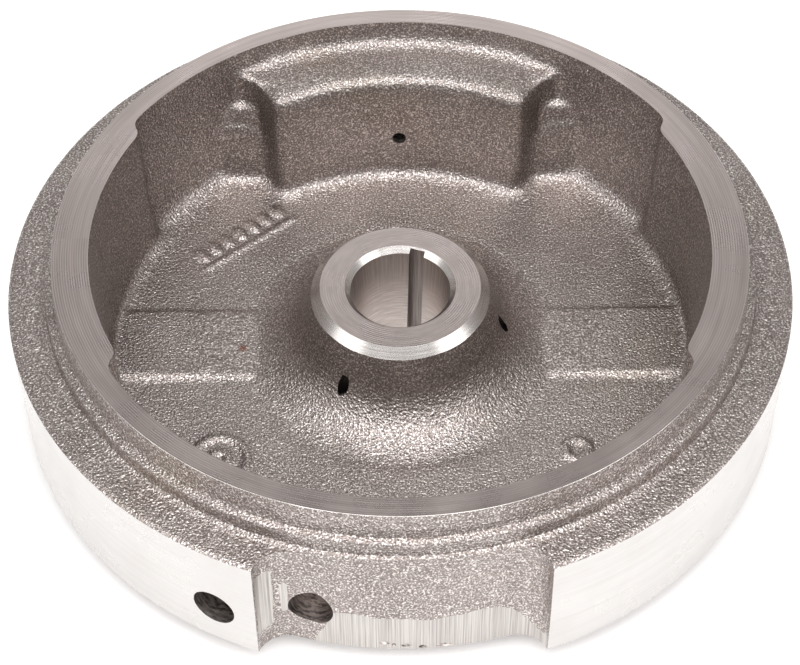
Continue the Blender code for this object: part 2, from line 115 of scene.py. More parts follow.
ALLOWANCE = 0.5 * MM            # stock left for the machining cuts
TOP_STOCK = 5.0 * MM            # more stock above the faces, whose edges the smoothing rounds
NOTCH_ANGLE = -90.0
NOTCH_HALF_ANGLE = 20.25
GROUND_RADIUS = 93.0 * MM       # the ground band at the foot of the notch
NOTCH_DRAFT = 0.085             # how fast the notch's cast floor leans inwards
NOTCH_FILLET = 7.0 * MM
NOTCH_PATCHES = ((-110.2, -108.9, 11 * MM, 33 * MM), (-108.0, -106.4, 15 * MM, 27 * MM))
NOTCH_DEEPEST = 91.7 * MM

COARSE = 0.8 * MM               # voxel sizes of the cast skin
FINE = 0.6 * MM
LIP_STEPS = 900
CLEAR = 6.0 * MM
GROOVE_PITCH = 0.6 * MM

# The magnet set
MAGNET_HEIGHT = 23.0 * MM
POCKET_HALF_WIDTH = 28.0 * MM
POCKET_HALF_HEIGHT = 12.0 * MM
POCKET_FLOOR = 84.0 * MM
PLATE_THICKNESS = 1.2 * MM
MAGNET_HALF_WIDTH = 11.0 * MM
MAGNET_THICKNESS = 8.0 * MM
SET_RADIUS = 99.7 * MM
SHEETS = 24                     # steel sheets in a pole shoe
SLICE_GROOVE = 0.08 * MM        # depth of the groove between two sheets
SCREW_HEAD_RADIUS = 3.9 * MM
SCREW_HEAD_DEPTH = 2.2 * MM
SCREW_SOCKET_RADIUS = 1.45 * MM
SCREW_SOCKET_DEPTH = 1.6 * MM
SCREW_TIP = 75.0 * MM
SCREW_PITCH = 0.7 * MM
SCREW_THREAD_DEPTH = 0.3 * MM
HEAD_INSET = 0.2 * MM
SCREW_RADIUS = 2.0 * MM
GAP = 0.3 * MM


# ---- shader helpers ---------------------------------------------------------------------

class Shader:
    """Short ways to add nodes to one material."""

    def __init__(self, name, color, roughness, metallic):
        self.material = bpy.data.materials.new(name)
        self.material.use_nodes = True
        self.tree = self.material.node_tree
        self.surface = self.tree.nodes["Principled BSDF"]
        self.surface.inputs["Base Color"].default_value = (*color, 1.0)
        self.surface.inputs["Roughness"].default_value = roughness
        self.surface.inputs["Metallic"].default_value = metallic

    def add(self, kind, **values):
        node = self.tree.nodes.new(kind)
        for key, value in values.items():
            setattr(node, key, value)
        return node

    def plug(self, source, node, key):
        if isinstance(source, (int, float)):
            node.inputs[key].default_value = source
        elif isinstance(source, tuple):
            node.inputs[key].default_value = source
        else:
            self.tree.links.new(source, node.inputs[key])

    def math(self, operation, a, b=0.0):
        node = self.add("ShaderNodeMath", operation=operation)
        self.plug(a, node, 0)
        self.plug(b, node, 1)
        return node.outputs[0]

    def place(self):
        return self.add("ShaderNodeTexCoord").outputs["Object"]

    def stretched(self, scale):
        node = self.add("ShaderNodeVectorMath", operation="MULTIPLY")
        self.plug(self.place(), node, 0)
        self.plug(scale, node, 1)
        return node.outputs[0]

    def cylindrical(self, round_scale, radial_scale, height_scale):
        """Coordinates that run round the axis, outwards and up, each with its own scale."""
        split = self.add("ShaderNodeSeparateXYZ")
        self.plug(self.place(), split, 0)
        x, y, z = split.outputs
        radius = self.math("SQRT", self.math("ADD", self.math("MULTIPLY", x, x),
                                             self.math("MULTIPLY", y, y)))
        turn = self.math("ARCTAN2", y, x)
        joined = self.add("ShaderNodeCombineXYZ")
        self.plug(self.math("MULTIPLY", turn, round_scale), joined, 0)
        self.plug(self.math("MULTIPLY", radius, radial_scale), joined, 1)
        self.plug(self.math("MULTIPLY", z, height_scale), joined, 2)
        return joined.outputs[0], radius, z

    def noise(self, where, scale, detail=2.0, roughness=0.5):
        node = self.add("ShaderNodeTexNoise")
        self.plug(where, node, "Vector")
        node.inputs["Scale"].default_value = scale
        node.inputs["Detail"].default_value = detail
        node.inputs["Roughness"].default_value = roughness
        return node.outputs["Fac"]

    def cells(self, where, scale):
        node = self.add("ShaderNodeTexVoronoi", feature="SMOOTH_F1")
        self.plug(where, node, "Vector")
        node.inputs["Scale"].default_value = scale
        return node.outputs["Distance"]

    def ramp(self, value, stops):
        """Colours or greys by value: stops are (position, colour or grey)."""
        node = self.add("ShaderNodeValToRGB")
        self.plug(value, node, 0)
        elements = node.color_ramp.elements
        while len(elements) < len(stops):
            elements.new(0.5)
        for element, (position, shade) in zip(elements, stops):
            element.position = position
            if isinstance(shade, (int, float)):
                shade = (shade, shade, shade)
            element.color = (*shade, 1.0)
        return node.outputs[0]

    def blend(self, factor, a, b, mode="MIX"):
        node = self.add("ShaderNodeMix", data_type="RGBA", blend_type=mode)
        self.plug(factor, node, 0)
        self.plug(a, node, 6)
        self.plug(b, node, 7)
        return node.outputs[2]

    def bump(self, height, distance, strength=1.0, before=None):
        node = self.add("ShaderNodeBump")
        self.plug(height, node, "Height")
        node.inputs["Distance"].default_value = distance
        node.inputs["Strength"].default_value = strength
        if before is not None:
            self.plug(before, node, "Normal")
        return node.outputs[0]

    def color(self, source):
        self.plug(source, self.surface, "Base Color")

    def roughness(self, source):
        self.plug(source, self.surface, "Roughness")

    def normal(self, source):
        self.plug(source, self.surface, "Normal")


# ---- the casting's finishes -------------------------------------------------------------

def cast_iron():
    """Shot-blasted sand casting: a grain of bright and dark dots about half a millimetre across, painted into
    the colour over a mottled tone; the bright dots are painted glints and the dark dots painted shade.
    """
    s = Shader("cast_iron_grain", (0.44, 0.385, 0.365), 0.30, 1.0)
    place = s.place()
    grain = s.noise(place, 2200.0, 1.0, 0.5)
    pebbles = s.cells(place, 1500.0)
    mottle = s.noise(place, 60.0, 3.0, 0.6)
    stain = s.noise(place, 24.0, 2.0, 0.5)
    base = s.ramp(mottle, [(0.3, (0.335, 0.290, 0.272)), (0.7, (0.425, 0.371, 0.351))])
    base = s.blend(s.ramp(stain, [(0.62, 0.0), (0.75, 0.35)]), base, (0.37, 0.31, 0.25, 1.0))
    # painted shade: the dark dots of the grain
    base = s.blend(s.ramp(grain, [(0.34, 0.55), (0.50, 0.0)]), base, (0.12, 0.10, 0.094, 1.0))
    # painted glints: the near-white dots of the grain
    base = s.blend(s.ramp(grain, [(0.55, 0.0), (0.66, 0.8)]), base, (0.97, 0.92, 0.89, 1.0))
    for x, y, z, size in RUST:
        near = s.add("ShaderNodeVectorMath", operation="DISTANCE")
        s.plug(place, near, 0)
        s.plug((x * MM, y * MM, z * MM), near, 1)
        patch = s.ramp(s.math("DIVIDE", near.outputs["Value"], size * MM), [(0.45, 0.75), (1.0, 0.0)])
        base = s.blend(patch, base, (0.22, 0.085, 0.05, 1.0))
    s.color(base)
    s.roughness(s.ramp(grain, [(0.35, 0.43), (0.65, 0.29)]))
    rough = s.bump(pebbles, 0.00022, 0.8)
    s.normal(s.bump(grain, 0.0002, 1.0, rough))
    return s.material


def turned_face():
    """A faced surface, with the fine concentric grooves of the tool."""
    s = Shader("iron_faced", (0.68, 0.605, 0.585), 0.27, 1.0)
    around, radius, _ = s.cylindrical(3.0, 900.0, 0.0)
    streak = s.noise(around, 1.0, 2.0, 0.6)
    groove = s.math("SINE", s.math("MULTIPLY", radius, 2.0 * math.pi / GROOVE_PITCH))
    patch, _, _ = s.cylindrical(1.6, 60.0, 0.0)
    depth = s.ramp(s.noise(patch, 1.0, 1.0), [(0.35, 0.15), (0.65, 1.0)])
    lines = s.math("MULTIPLY", groove, depth)
    height = s.math("ADD", lines, s.math("MULTIPLY", streak, 1.5))
    base = s.ramp(streak, [(0.3, (0.54, 0.473, 0.451)), (0.7, (0.67, 0.592, 0.570))])
    # painted shade: the colour darkens in the troughs of the grooves
    dark = s.ramp(s.math("ADD", s.math("MULTIPLY", lines, 0.5), 0.5), [(0.0, 0.4), (1.0, 0.0)])
    s.color(s.blend(dark, base, (0.22, 0.19, 0.18, 1.0)))
    s.roughness(s.ramp(s.noise(s.place(), 90.0), [(0.3, 0.24), (0.7, 0.34)]))
    s.normal(s.bump(height, 0.000011, 1.0))
    return s.material


def turned_outside():
    """The outer surface, turned and nearly bright, with faint lines round it."""
    s = Shader("iron_turned", (0.84, 0.82, 0.80), 0.26, 1.0)
    around, _, _ = s.cylindrical(1.5, 0.0, 2600.0)
    streak = s.noise(around, 1.0, 3.0, 0.6)
    mottle = s.noise(s.place(), 55.0, 3.0, 0.6)
    base = s.ramp(streak, [(0.3, (0.64, 0.615, 0.60)), (0.7, (0.72, 0.70, 0.685))])
    s.color(s.blend(s.ramp(mottle, [(0.5, 0.0), (0.8, 0.35)]), base, (0.58, 0.55, 0.525, 1.0)))
    s.roughness(s.ramp(mottle, [(0.3, 0.24), (0.7, 0.36)]))
    s.normal(s.bump(streak, 0.00001, 0.6))
    return s.material


def bright_chamfer():
    s = Shader("iron_chamfer", (0.82, 0.80, 0.78), 0.26, 1.0)
    around, _, _ = s.cylindrical(2.0, 2200.0, 2200.0)
    streak = s.noise(around, 1.0, 3.0, 0.6)
    s.color(s.ramp(streak, [(0.3, (0.58, 0.545, 0.525)), (0.7, (0.72, 0.69, 0.67))]))
    s.normal(s.bump(streak, 0.000015, 0.8))
    return s.material


def reamed_bore():
    """The tapered bore, with streaks up its wall and a darker upper end."""
    s = Shader("iron_bore", (0.45, 0.42, 0.40), 0.36, 1.0)
    upward, _, z = s.cylindrical(22.0, 0.0, 45.0)
    streak = s.noise(upward, 1.0, 4.0, 0.7)
    fine, _, _ = s.cylindrical(2.0, 0.0, 2400.0)
    ring = s.noise(fine, 1.0, 2.0, 0.5)
    upper = s.ramp(streak, [(0.3, (0.36, 0.32, 0.30)), (0.7, (0.66, 0.60, 0.57))])
    lower = s.ramp(ring, [(0.3, (0.54, 0.48, 0.45)), (0.7, (0.80, 0.72, 0.685))])
    level = s.math("ADD", z, s.math("MULTIPLY", streak, 6 * MM))
    s.color(s.blend(s.ramp(s.math("DIVIDE", level, HUB_FACE), [(0.62, 0.0), (0.86, 1.0)]), lower, upper))
    s.roughness(s.ramp(streak, [(0.3, 0.44), (0.7, 0.30)]))
    s.normal(s.bump(ring, 0.00002, 0.7, s.bump(streak, 0.00004, 0.5)))
    return s.material


def broached_keyway():
    s = Shader("iron_keyway", (0.30, 0.275, 0.26), 0.42, 1.0)
    upward = s.stretched((2400.0, 2400.0, 60.0))
    streak = s.noise(upward, 1.0, 3.0, 0.6)
    s.color(s.ramp(streak, [(0.3, (0.20, 0.175, 0.165)), (0.7, (0.46, 0.41, 0.385))]))
    s.normal(s.bump(streak, 0.00003, 0.8))
    return s.material


def drilled_iron():
    """The wall of a drilled hole, with rings from the drill."""
    s = Shader("iron_drilled", (0.40, 0.37, 0.35), 0.38, 1.0)
    around, _, _ = s.cylindrical(60.0, 1500.0, 60.0)
    ring = s.noise(around, 1.0, 2.0, 0.6)
    s.color(s.ramp(ring, [(0.35, (0.20, 0.175, 0.165)), (0.6, (0.80, 0.74, 0.71))]))
    s.normal(s.bump(ring, 0.00006, 0.9))
    return s.material


def painted_shade_hole():
    """Painted shade: a near-black wall for the far end of a cored hole, standing in for the dark inside the
    deep, unlit hole, with a faint grain.
    """
    s = Shader("iron_painted_shade", (0.05, 0.045, 0.04), 0.6, 1.0)
    # near-black colour: painted shade, with noise for a faint grain
    scale = s.noise(s.place(), 1800.0, 2.0, 0.6)
    s.color(s.ramp(scale, [(0.35, (0.03, 0.027, 0.025)), (0.7, (0.09, 0.08, 0.075))]))
    s.normal(s.bump(scale, 0.0001, 0.8))
    return s.material


def ground_band():
    """The belt-ground foot of the notch, with fine upright lines."""
    s = Shader("iron_ground", (0.74, 0.71, 0.68), 0.34, 1.0)
    upward, _, _ = s.cylindrical(290.0, 0.0, 26.0)
    line = s.noise(upward, 1.0, 4.0, 0.65)
    shade = s.ramp(line, [(0.35, (0.38, 0.345, 0.325)), (0.6, (0.66, 0.63, 0.605))])
    s.color(shade)
    s.roughness(s.ramp(line, [(0.3, 0.44), (0.7, 0.28)]))
    s.normal(s.bump(line, 0.00003, 0.8))
    return s.material


def milled_pocket():
    s = Shader("iron_milled", (0.55, 0.52, 0.50), 0.34, 1.0)
    swirl = s.noise(s.stretched((160.0, 2200.0, 160.0)), 1.0, 3.0, 0.6)
    s.color(s.ramp(swirl, [(0.3, (0.44, 0.41, 0.39)), (0.7, (0.62, 0.59, 0.565))]))
    s.normal(s.bump(swirl, 0.00003, 0.8))
    return s.material


# ---- mesh helpers -----------------------------------------------------------------------

def new_object(name, mesh):
    obj = bpy.data.objects.new(name, mesh)
    bpy.context.scene.collection.objects.link(obj)
    return obj


def polar(radius, angle):
    return radius * math.cos(math.radians(angle)), radius * math.sin(math.radians(angle))


def bend(start, corner, end, count):
    """Points of a smooth curve that leaves start and reaches end in line with the corner."""
    points = []
    for i in range(count + 1):
        t = i / count
        weights = ((1 - t) ** 2, 2 * t * (1 - t), t ** 2)
        points.append(tuple(sum(w * p[axis] for w, p in zip(weights, (start, corner, end)))
                            for axis in (0, 1)))
    return points


def lathe(name, profile, steps=256, materials=(), slots=None):
    """A closed (radius, height) profile turned about Z, with one material slot per side."""
    shape = bmesh.new()
    rings = []
    for radius, height in profile:
        if radius < 1e-7:
            rings.append([shape.verts.new((0.0, 0.0, height))] * steps)
            continue
        rings.append([shape.verts.new((*polar(radius, 360.0 * k / steps), height))
                      for k in range(steps)])
    count = len(profile)
    for i in range(count):
        low, high = rings[i], rings[(i + 1) % count]
        for k in range(steps):
            corners = [low[k], low[(k + 1) % steps], high[(k + 1) % steps], high[k]]
            corners = [v for n, v in enumerate(corners) if v is not corners[n - 1]]
            if len(corners) > 2:
                face = shape.faces.new(corners)
                face.material_index = slots[i] if slots else 0
    bmesh.ops.recalc_face_normals(shape, faces=shape.faces)
    mesh = bpy.data.meshes.new(name)
    shape.to_mesh(mesh)
    shape.free()
    for surface in materials:
        mesh.materials.append(surface)
    return new_object(name, mesh)


def aim(obj, base, direction):
    """Turn an object's own Z towards a direction, and move its origin to base."""
    turn = Vector(direction).to_track_quat("Z", "Y").to_matrix().to_4x4()
    obj.data.transform(Matrix.Translation(Vector(base)) @ turn)
    return obj


def box(name, low, high, surface=None):
    low = Vector(low)
    size = Vector(high) - low
    shape = bmesh.new()
    bmesh.ops.create_cube(shape, size=1.0)
    middle = Matrix.Translation(low + size / 2)
    bmesh.ops.transform(shape, matrix=middle @ Matrix.Diagonal((*size, 1.0)), verts=shape.verts)
    mesh = bpy.data.meshes.new(name)
    shape.to_mesh(mesh)
    shape.free()
    if surface:
        mesh.materials.append(surface)
    return new_object(name, mesh)


def loft(name, inner, outer, angles, heights):
    """A block about the axis: its inner and outer radii are functions of (angle, height)."""
    shape = bmesh.new()
    columns = []
    for angle in angles:
        column = [shape.verts.new((*polar(inner(angle, z), angle), z)) for z in heights]
        column += [shape.verts.new((*polar(outer(angle, z), angle), z)) for z in reversed(heights)]
        columns.append(column)
    for near, far in zip(columns, columns[1:]):
        for i in range(len(near)):
            j = (i + 1) % len(near)
            shape.faces.new((near[i], near[j], far[j], far[i]))
    shape.faces.new(columns[0])
    shape.faces.new(columns[-1])
    bmesh.ops.recalc_face_normals(shape, faces=shape.faces)
    mesh = bpy.data.meshes.new(name)
    shape.to_mesh(mesh)
    shape.free()
    return new_object(name, mesh)


def spread(low, high, count):
    return [low + (high - low) * i / (count - 1) for i in range(count)]


def bake(obj):
    """Apply an object's modifiers."""
    bpy.context.view_layer.update()
    evaluated = obj.evaluated_get(bpy.context.evaluated_depsgraph_get())
    mesh = bpy.data.meshes.new_from_object(evaluated)
    old = obj.data
    obj.modifiers.clear()
    obj.data = mesh
    bpy.data.meshes.remove(old)
    return obj


def join(obj, others):
    """Put the others' faces into obj, and remove them."""
    shape = bmesh.new()
    for piece in [obj, *others]:
        shape.from_mesh(piece.data)
    shape.to_mesh(obj.data)
    shape.free()
    for piece in others:
        bpy.data.objects.remove(piece, do_unlink=True)
    return obj


def cut(obj, cutter, operation="DIFFERENCE"):
    """Cut obj, keeping the cutter's finish on the faces that it leaves."""
    boolean = obj.modifiers.new("cut", "BOOLEAN")
    boolean.object = cutter
    boolean.operation = operation
    boolean.solver = "MANIFOLD"
    boolean.material_mode = "TRANSFER"
    bake(obj)
    bpy.data.objects.remove(cutter, do_unlink=True)
    return obj


def shade(obj, flat_finishes=(), angle=40.0):
    """Smooth shading, with crisp edges between finishes and flat faces where they are flat."""
    obj.data.shade_smooth()
    obj.data.set_sharp_from_angle(angle=math.radians(angle))
    flat = {i for i, m in enumerate(obj.data.materials) if m.name in flat_finishes}
    shape = bmesh.new()
    shape.from_mesh(obj.data)
    for face in shape.faces:
        if face.material_index in flat:
            face.smooth = False
    for edge in shape.edges:
        if len({face.material_index for face in edge.link_faces}) > 1:
            edge.smooth = False
    shape.to_mesh(obj.data)
    shape.free()


def voxel(obj, size):
    remesh = obj.modifiers.new("skin", "REMESH")
    remesh.mode = "VOXEL"
    remesh.voxel_size = size
    remesh.adaptivity = 0.0
    return bake(obj)


def weights(obj, name, rule):
    """A vertex group from a rule on the arrays of x, y and z."""
    mesh = obj.data
    places = np.empty(len(mesh.vertices) * 3, dtype=np.float32)
    mesh.vertices.foreach_get("co", places)
    x, y, z = places.reshape(-1, 3).T
    chosen = np.nonzero(rule(x, y, z))[0]
    group = obj.vertex_groups.new(name=name)
    group.add(chosen.tolist(), 1.0, "REPLACE")
    return name


def smooth(obj, rounds, group=""):
    modifier = obj.modifiers.new("smooth", "SMOOTH")
    modifier.factor = 0.5
    modifier.iterations = rounds
    modifier.vertex_group = group
    return modifier


def ripple(obj, name, scale, depth, octaves=1):
    """Push the surface in and out by a cloud of noise."""
    clouds = bpy.data.textures.new(name, "CLOUDS")
    clouds.noise_scale = scale
    clouds.noise_depth = octaves
    clouds.noise_basis = "ORIGINAL_PERLIN"
    displace = obj.modifiers.new(name, "DISPLACE")
    displace.texture = clouds
    displace.texture_coords = "LOCAL"
    displace.strength = depth * 2
    displace.mid_level = 0.5


# ---- the cast blank ---------------------------------------------------------------------

def blank_profile():
    """Half section of the blank, with stock where it will be machined."""
    outer = [
        (91.0 * MM, RIM_FACE + TOP_STOCK), (94.0 * MM, RIM_FACE - 3.0 * MM),
        (RIM_RADIUS + ALLOWANCE, RIM_SHOULDER + TOP_STOCK),
        (RIM_RADIUS + ALLOWANCE, RIM_LOW - ALLOWANCE),
    ]
    under = [
        (UNDER_FACE_RADIUS, RIM_LOW - ALLOWANCE), (86.5 * MM, WEB_UNDER),
        (FAN_HUB_RADIUS + 3.0 * MM, WEB_UNDER), (FAN_HUB_RADIUS, -ALLOWANCE), (0.0, -ALLOWANCE),
    ]
    flare = bend((25.8 * MM, 21.0 * MM), (29.2 * MM, 11.2 * MM), (41.5 * MM, WEB_TOP - 0.2 * MM), 12)
    hub = [(0.0, HUB_FACE + TOP_STOCK), (21.2 * MM, HUB_FACE + TOP_STOCK), *flare, (43.5 * MM, WEB_TOP)]
    wall = bend((WALL_FLOOR_RADIUS - 5.0 * MM, WEB_TOP), (WALL_FLOOR_RADIUS, WEB_TOP),
                (WALL_FLOOR_RADIUS, WEB_TOP + 5.5 * MM), 6)
    return outer + under + hub + wall + [(WALL_TOP_RADIUS + 0.2 * MM, RIM_FACE + TOP_STOCK)]


def drafted(low_radius, high_radius, low, high):
    """A radius that leans from one value to another between two heights."""
    def radius(angle, z):
        return low_radius + (high_radius - low_radius) * (z - low) / (high - low)
    return radius


def buried(angle, z):
    return BURIED_RADIUS


def corner_radius(angle, z):
    """The boss's ends sweep outwards where they meet the wall."""
    past = (abs(angle - 90.0) - BOSS_HALF_ANGLE) / 4.5
    return WALL_TOP_RADIUS + 0.4 * MM - 7.0 * MM * max(0.0, 1.0 - past) ** 2


def step_block(side, near, far, front, top, drop):
    """A fill between the boss's end and the wall, with a straight front at y = front."""
    angles = sorted(90.0 - side * angle for angle in spread(near, far, 5))

    def face(angle, z):
        return min((front + STEP_DRAFT * (z - WEB_TOP)) / math.sin(math.radians(angle)), BURIED_RADIUS - MM)
    return loft("step", face, buried, angles, [6 * MM, top - drop])


def wall_blocks():
    """The thicker stretches of the wall, the boss for the magnets and its stepped ends."""
    blocks = []
    pad = drafted(PAD_FLOOR_RADIUS, PAD_TOP_RADIUS, WEB_TOP, RIM_FACE)
    for middle in (0.0, 180.0):
        angles = spread(middle - PAD_HALF_ANGLE, middle + PAD_HALF_ANGLE, 31)
        blocks.append(loft("pad", pad, buried, angles, [6 * MM, RIM_FACE + TOP_STOCK]))
    boss = drafted(BOSS_FLOOR_RADIUS, BOSS_TOP_RADIUS, WEB_TOP, BOSS_TOP)
    angles = spread(90.0 - BOSS_HALF_ANGLE, 90.0 + BOSS_HALF_ANGLE, 31)
    blocks.append(loft("boss", boss, buried, angles, [6 * MM, BOSS_TOP]))
    for side in (-1, 1):
        start = BOSS_HALF_ANGLE - 1.0
        blocks.append(loft("corner", corner_radius, buried,
                           sorted(90.0 - side * angle for angle in spread(start, start + 5.5, 8)),
                           [6 * MM, BOSS_TOP]))
        blocks.append(step_block(side, start, 39.5, 63.7 * MM, 34.0 * MM, 0.0))
        for near, far in zip(spread(start, 41.5, 9), spread(start, 41.5, 9)[1:]):
            across = (near + far - start - 41.5) / (41.5 - start)
            blocks.append(step_block(side, near, far + 0.2, 62.3 * MM, 28.5 * MM, 7.0 * MM * across ** 2))
    return blocks


def notch_height(angle):
    """Height at which the cast floor of the notch meets the ground band, by angle."""
    corners = [(-110.0, 2.0), (-103.8, 2.5), (-101.4, 12.0), (-100.2, 18.6), (-93.5, 17.4), (-86.0, 16.4),
               (-79.0, 18.4), (-76.0, 17.8), (-72.5, 13.5), (-70.0, 8.0)]
    return float(np.interp(angle, [c[0] for c in corners], [c[1] for c in corners])) * MM


def notch_ground(angle, z):
    """Radius of the notch's ground surface: round in the middle, with a fillet at each side."""
    fillet = math.degrees(NOTCH_FILLET / GROUND_RADIUS)
    edge = max(0.0, 1.0 - (NOTCH_HALF_ANGLE - abs(angle - NOTCH_ANGLE)) / fillet)
    return GROUND_RADIUS + NOTCH_FILLET * (1.0 - math.sqrt(max(0.0, 1.0 - edge * edge)))


def notch_cast(angle, z):
    """Radius of the notch's cast surface, which leans inwards as it rises."""
    deepest = NOTCH_DEEPEST - GROUND_RADIUS
    limit = float(np.interp(angle, (-106.5, -103.0), (0.2 * deepest, deepest)))
    lean = max(NOTCH_DRAFT * (notch_height(angle) - z), limit)
    for low, high, bottom, top in NOTCH_PATCHES:
        if low < angle < high and bottom < z < top:
            lean = -limit
    return notch_ground(angle, z) + lean


def outside(angle, z):
    return RIM_RADIUS + CLEAR


def notch_angles():
    """Angles across the notch, closer together where the fillets are steep."""
    near = [NOTCH_HALF_ANGLE * t for t in (0.0, 0.0006, 0.002, 0.005, 0.012, 0.025, 0.05, 0.09, 0.14)]
    low = NOTCH_ANGLE - NOTCH_HALF_ANGLE
    high = NOTCH_ANGLE + NOTCH_HALF_ANGLE
    middle = spread(low + 0.2 * NOTCH_HALF_ANGLE, high - 0.2 * NOTCH_HALF_ANGLE, 41)
    return [low + a for a in near] + middle + [high - a for a in reversed(near)]


def notch_block():
    return loft("notch", notch_cast, outside, notch_angles(), spread(-CLEAR, 60 * MM, 34))


def lip_block():
    """What the mould leaves free round the rim: a leaning wall and two narrow shelves."""
    outline = [(87.25 * MM, RIM_FACE + CLEAR + MM), (87.75 * MM, RIM_FACE), (88.1 * MM, 45.4 * MM),
               (88.2 * MM, 44.0 * MM), (88.5 * MM, 43.35 * MM), (89.3 * MM, 43.15 * MM),
               (90.1 * MM, 42.9 * MM), (90.35 * MM, 42.4 * MM), (90.5 * MM, 40.0 * MM),
               (90.75 * MM, 39.45 * MM), (91.4 * MM, 39.25 * MM), (92.2 * MM, 38.95 * MM),
               (99.2 * MM, 38.6 * MM), (RIM_RADIUS, RIM_SHOULDER), (RIM_RADIUS + CLEAR, RIM_SHOULDER)]
    close = [outline[0]]
    for start, end in zip(outline, outline[1:]):
        count = max(1, round(math.dist(start, end) / FINE))
        close += [tuple(s + (e - s) * i / count for s, e in zip(start, end))
                  for i in range(1, count + 1)]
    close.append((RIM_RADIUS + CLEAR, RIM_FACE + CLEAR + MM))
    return lathe("lip", close, LIP_STEPS)


def rising(name, corners, lows, highs):
    """A block over four ground corners, with its own height at each."""
    shape = bmesh.new()
    base = [shape.verts.new((x, y, low)) for (x, y), low in zip(corners, lows)]
    top = [shape.verts.new((x, y, high)) for (x, y), high in zip(corners, highs)]
    shape.faces.new(base)
    shape.faces.new(top)
    for i in range(4):
        j = (i + 1) % 4
        shape.faces.new((base[i], base[j], top[j], top[i]))
    bmesh.ops.recalc_face_normals(shape, faces=shape.faces)
    mesh = bpy.data.meshes.new(name)
    shape.to_mesh(mesh)
    shape.free()
    return new_object(name, mesh)


def small_marks():
    """Low raised features of the mould: the web bars, generic marks and the wall's nub."""
    marks = []
    far_y = BAR_MIDDLE + BAR_HALF_WIDTH
    near_y = BAR_MIDDLE - BAR_HALF_WIDTH
    outer = WALL_FLOOR_RADIUS + MM
    for side in (-1, 1):
        for skirt in spread(0.0, BAR_SKIRT, 5):
            corners = [(side * BAR_INNER, near_y - skirt), (side * outer, near_y - skirt),
                       (side * outer, far_y), (side * BAR_INNER, far_y)]
            level = WEB_TOP + BAR_RISE * (1.0 - skirt / BAR_SKIRT)
            inner = level - 0.5 * BAR_RISE
            marks.append(rising("bar", corners, [6 * MM] * 4, [inner, level, level, inner]))
    for (x, y), size in (((-46.3, -39.3), 7.6), ((-46.3, -39.3), 2.8), ((44.8, -36.9), 3.6)):
        high = WEB_TOP + MARK_RISE
        ring = lathe("ring", [(size * MM, 6 * MM), (size * MM, high), ((size - 1.1) * MM, high),
                              ((size - 1.1) * MM, 6 * MM)], steps=48)
        ring.data.transform(Matrix.Translation((x * MM, y * MM, 0.0)))
        marks.append(ring)
    start = Vector((-53.0, 26.8, 0.0)) * MM
    end = Vector((-29.7, 46.2, 0.0)) * MM
    along = (end - start).normalized()
    across = Vector((-along.y, along.x, 0.0))
    turn = Matrix((along, across, (0.0, 0.0, 1.0))).transposed().to_4x4()
    rule = box("rule", (0.0, -0.45 * MM, 6 * MM), ((end - start).length, 0.45 * MM, WEB_TOP + MARK_RISE))
    rule.data.transform(Matrix.Translation(start) @ turn)
    marks.append(rule)
    pitch = (end - start).length / 7
    for i in range(7):
        pip = lathe("pip", [(0.0, 6 * MM), (1.15 * MM, 6 * MM), (1.15 * MM, WEB_TOP + MARK_RISE),
                            (0.0, WEB_TOP + MARK_RISE)], steps=24)
        pip.data.transform(Matrix.Diagonal((1.0, 1.9, 1.0, 1.0)))
        pip.data.transform(Matrix.Translation(start) @ turn
                           @ Matrix.Translation(((i + 0.5) * pitch, 5.0 * MM, 0.0)))
        marks.append(pip)
    nub = lathe("nub", [(0.0, 84 * MM), (2.0 * MM, 84 * MM), (1.7 * MM, 89.2 * MM), (0.0, 89.7 * MM)],
                steps=32)
    marks.append(aim(nub, (-2.0 * MM, 0.0, 47.5 * MM), (0.0, 1.0, 0.0)))
    return marks


def make_blank(surface):
    blank = lathe("flywheel_body", blank_profile(), steps=240)
    join(blank, wall_blocks())
    voxel(blank, COARSE)
    weights(blank, "cup", lambda x, y, z: (np.hypot(x, y) < 84 * MM) & (np.hypot(x, y) > 46 * MM)
            & (z > 6 * MM))
    steps = weights(blank, "steps", lambda x, y, z: (np.hypot(x, y) > 70 * MM) & (np.hypot(x, y) < 84 * MM)
                    & (z > 14 * MM) & (y > 58 * MM) & (np.abs(x) > 38.5 * MM))
    blank.vertex_groups["cup"].add([v.index for v in blank.data.vertices if v.groups
                                    and blank.vertex_groups[steps].index in [g.group for g in v.groups]],
                                   STEP_SOFTNESS, "REPLACE")
    smooth(blank, 100, "cup")
    bake(blank)
    cut(blank, notch_block())
    join(blank, small_marks())
    blank.vertex_groups.clear()
    voxel(blank, FINE)
    smooth(blank, 4)
    bake(blank)
    cut(blank, lip_block())
    ripple(blank, "swell", 9 * MM, 0.10 * MM)
    ripple(blank, "grain", 1.1 * MM, 0.04 * MM)
    bake(blank)
    blank.data.materials.clear()
    blank.data.materials.append(surface)
    return blank


# ---- the machining cuts -----------------------------------------------------------------

def turn_rim(body, outside, face, edge):
    """Turn the outer surface and face both sides of the rim."""
    far = RIM_RADIUS + CLEAR
    ring = [(far, RIM_FACE + CLEAR), (RIM_RADIUS, RIM_FACE + CLEAR),
            (RIM_RADIUS, RIM_LOW + RIM_EDGE), (RIM_RADIUS - RIM_EDGE, RIM_LOW),
            (UNDER_FACE_RADIUS - 1.0 * MM, RIM_LOW), (UNDER_FACE_RADIUS - 1.6 * MM, -CLEAR),
            (far, -CLEAR)]
    cut(body, lathe("turning", ring, 360, (outside, face, edge), (0, 0, 2, 1, 1, 0, 0)))
    burr = RIM_FACE_RADIUS - 0.04 * MM
    disc = [(0.0, RIM_FACE), (burr, RIM_FACE), (burr + MM, RIM_FACE - 0.7 * MM),
            (far, RIM_FACE - 0.7 * MM), (far, RIM_FACE + CLEAR + 2 * MM), (0.0, RIM_FACE + CLEAR + 2 * MM)]
    cut(body, lathe("facing", disc, 360, (face, edge), (0, 1, 1, 0, 0, 0)))


